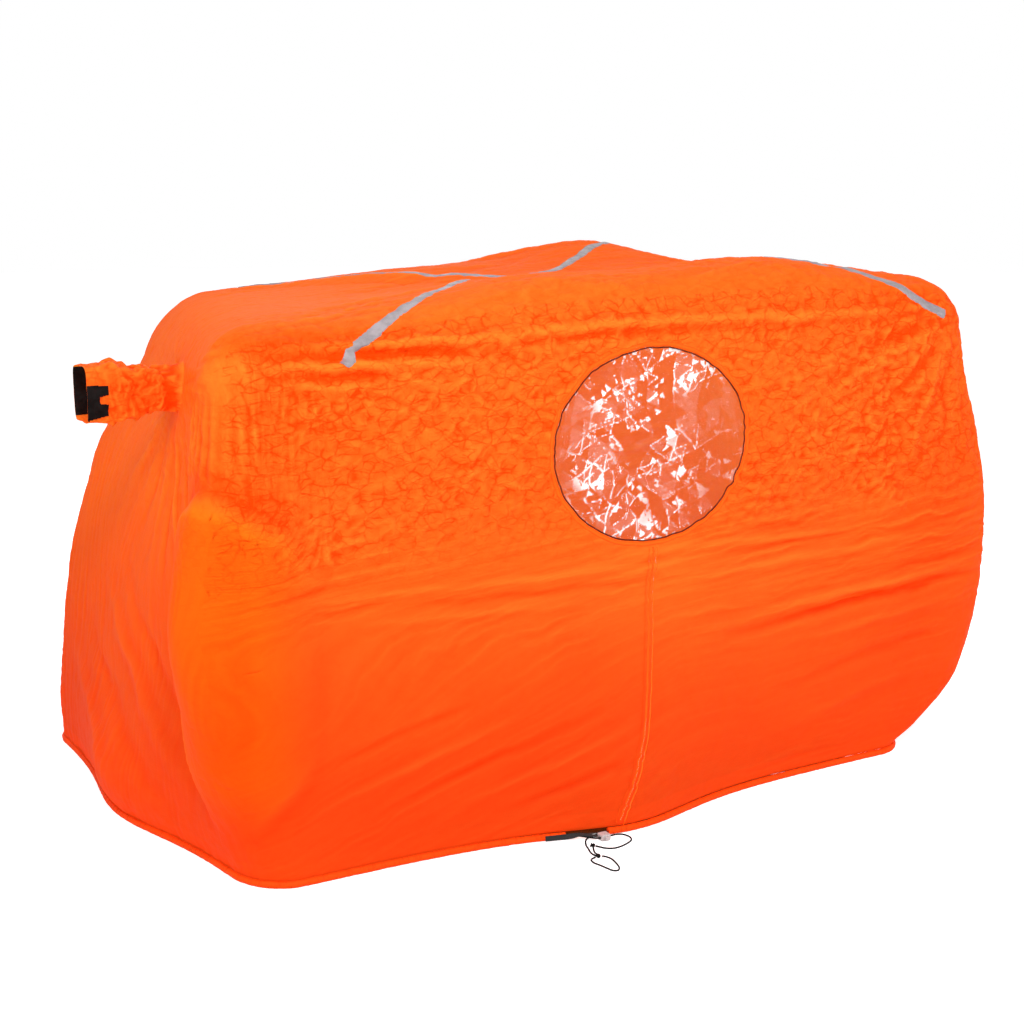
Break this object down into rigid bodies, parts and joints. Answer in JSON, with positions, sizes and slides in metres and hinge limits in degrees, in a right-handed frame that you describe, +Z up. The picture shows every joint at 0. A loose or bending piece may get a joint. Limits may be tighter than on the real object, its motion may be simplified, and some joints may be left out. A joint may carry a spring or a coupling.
{
  "type": "bothy bag",
  "caption": "Bottomless group survival shelter of thin cloth, with a clear window, a sleeve vent whose mouth closes, sewn-in seats, and a hem drawn in by a cord with a sprung cord lock.",
  "frame": {"origin": "on the ground, under the middle of the shelter", "axes": "+Z up, +X along the long walls away from the vent end, -Y out through the window wall"},
  "size_m": [1.7503, 1.2274, 0.9809],
  "materials": {
    "ripstop": "thin coated ripstop nylon, bright orange",
    "hem_cloth": "folded and sewn ripstop nylon, orange",
    "clear_film": "clear flexible film, glossy",
    "reflective_tape": "sewn reflective tape, silver grey",
    "black_webbing": "woven black webbing and touch-and-close strip",
    "cord": "braided black cord",
    "lock_plastic": "frosted moulded plastic",
    "spring_steel": "bright wire",
    "seat_cloth": "heavy coated cloth, black"
  },
  "bodies": {
    "shelter": {"front_wall": "ripstop", "back_wall": "ripstop", "left_end_wall": "ripstop", "vent_patch": "ripstop", "right_end_wall": "ripstop", "roof_panel": "ripstop", "window_film": "clear_film", "window_binding": "hem_cloth", "front_seam_tape": "hem_cloth", "reflective_tape_lower": "reflective_tape", "reflective_tape_upper": "reflective_tape", "vent_collar": "ripstop", "front_hem_left": "hem_cloth", "front_hem_right": "hem_cloth", "right_hem": "hem_cloth", "back_hem": "hem_cloth", "left_hem": "hem_cloth", "hem_drawcord": "cord", "hem_webbing_tab": "black_webbing", "front_seat_margin": "seat_cloth", "back_seat_margin": "seat_cloth", "drawcord_loop": "cord", "drawcord_return": "cord", "drawcord_link": "cord", "drawcord_pull_loop": "cord", "drawcord_knot_upper": "cord", "drawcord_knot_lower": "cord"},
    "vent": {"vent_sleeve": "ripstop"},
    "vent_near_side": {"vent_near_lip": "ripstop", "vent_near_strip": "black_webbing"},
    "vent_far_side": {"vent_far_lip": "ripstop", "vent_far_strip": "black_webbing"},
    "cord_lock": {"cord_lock_body": "lock_plastic", "cord_lock_spring": "spring_steel"},
    "cord_lock_button": {"cord_lock_plunger": "lock_plastic"},
    "front_seat_panel": {"front_seat": "seat_cloth"},
    "back_seat_panel": {"back_seat": "seat_cloth"}
  },
  "joints": [
    {"name": "vent_droop", "type": "hinge", "parent": "shelter", "child": "vent", "pos_m": [-0.735, -0.15, 0.785], "axis": [0, -1, 0], "range_deg": [-25, 30], "deforming": ["vent_collar"]},
    {"name": "vent_near_side_fold", "type": "hinge", "parent": "vent", "child": "vent_near_side", "pos_m": [-0.812, -0.18875, 0.785], "axis": [0, 0, -1], "range_deg": [0, 40]},
    {"name": "vent_far_side_fold", "type": "hinge", "parent": "vent", "child": "vent_far_side", "pos_m": [-0.812, -0.11125, 0.785], "axis": [0, 0, 1], "range_deg": [0, 40]},
    {"name": "cord_lock_slide", "type": "slide", "parent": "shelter", "child": "cord_lock", "axis": [1, 0, 0], "range_m": [0, 0.015]},
    {"name": "cord_lock_press", "type": "slide", "parent": "cord_lock", "child": "cord_lock_button", "axis": [0, 1, 0], "range_m": [0, 0.003], "stiffness_N_per_m": 200, "springref_m": -0.002, "deforming": ["cord_lock_spring"]},
    {"name": "front_seat_fold", "type": "hinge", "parent": "shelter", "child": "front_seat_panel", "pos_m": [0, -0.4453, 0.002], "axis": [1, 0, 0], "range_deg": [0, 85]},
    {"name": "back_seat_fold", "type": "hinge", "parent": "shelter", "child": "back_seat_panel", "pos_m": [0, 0.4453, 0.002], "axis": [-1, 0, 0], "range_deg": [0, 85]}
  ],
  "couplings": [
    {"joint": "vent_far_side_fold", "follows": "vent_near_side_fold", "ratio": 1}
  ]
}
